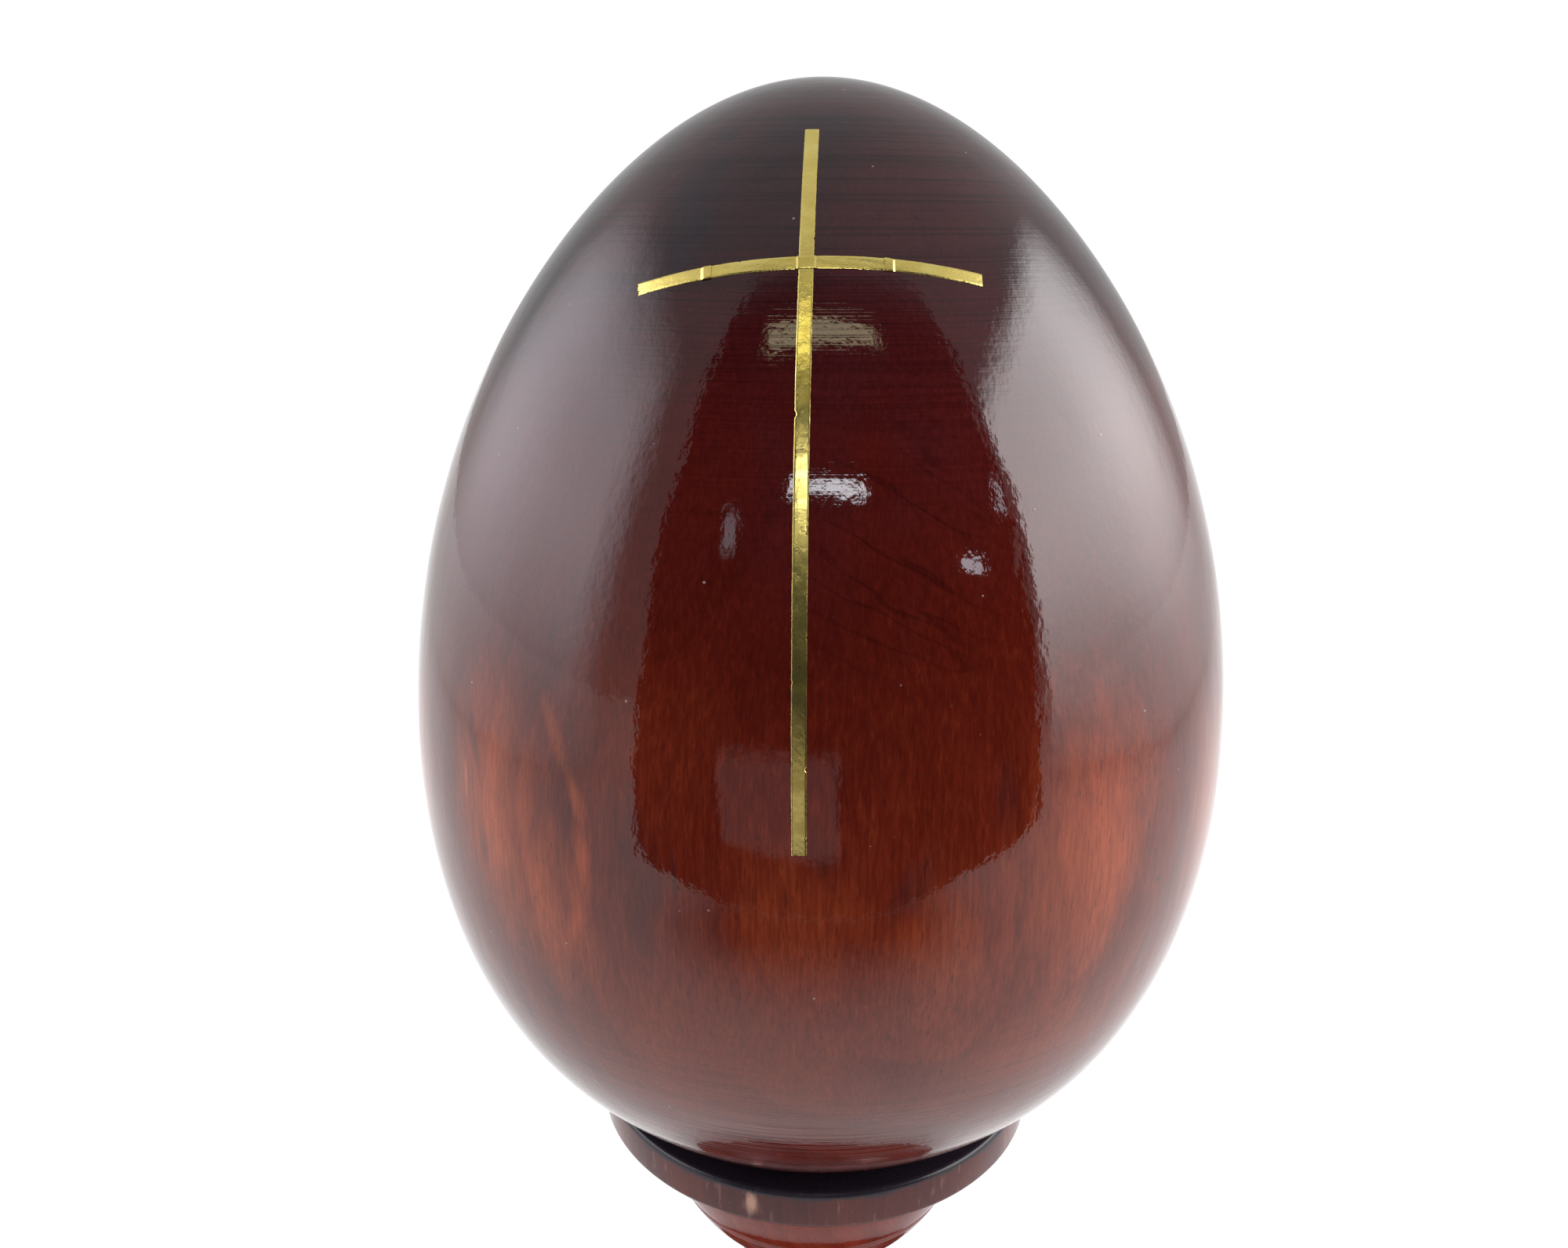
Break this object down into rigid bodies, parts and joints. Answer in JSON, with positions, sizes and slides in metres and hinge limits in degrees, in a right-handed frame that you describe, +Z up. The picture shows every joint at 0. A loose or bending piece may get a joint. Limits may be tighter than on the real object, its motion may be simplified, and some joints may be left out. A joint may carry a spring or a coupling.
{
  "type": "turned wooden egg on stand",
  "caption": "Turned and lacquered dark wooden Easter egg with a thin gold foil cross, standing on a turned wooden stand that it lifts off.",
  "frame": {"origin": "middle of the foot's underside, on the surface that the object stands on", "axes": "+Z up along the turning axis, through the egg's pointed end; -Y towards the side that carries the cross; +X to the right of someone looking at the cross"},
  "size_m": [0.121, 0.121, 0.2428],
  "materials": {
    "egg_lacquered_wood": "dark mahogany stain under thick clear gloss lacquer",
    "gold_foil": "bright metallised gold foil tape, slightly crinkled",
    "bare_wood": "plain sanded wood",
    "cup_stained_wood": "red-brown stain under lacquer, with a black painted top",
    "stem_dark_wood": "blue-black paint under lacquer",
    "foot_stained_wood": "red-brown stain under lacquer"
  },
  "bodies": {
    "stand": {"stand_cup": "cup_stained_wood", "stand_stem": "stem_dark_wood", "stand_foot": "foot_stained_wood"},
    "peg": {"locating_peg": "bare_wood"},
    "egg": {"egg_body": "egg_lacquered_wood", "foil_upright": "gold_foil", "foil_bar_centre": "gold_foil", "foil_bar_left": "gold_foil", "foil_bar_right": "gold_foil"}
  },
  "joints": [
    {"name": "egg_turn", "type": "hinge", "parent": "stand", "child": "peg", "pos_m": [0, 0, 0.08283], "axis": [0, 0, 1], "continuous": true},
    {"name": "egg_lift", "type": "slide", "parent": "peg", "child": "egg", "axis": [0, 0, 1], "range_m": [0, 0.06]}
  ]
}
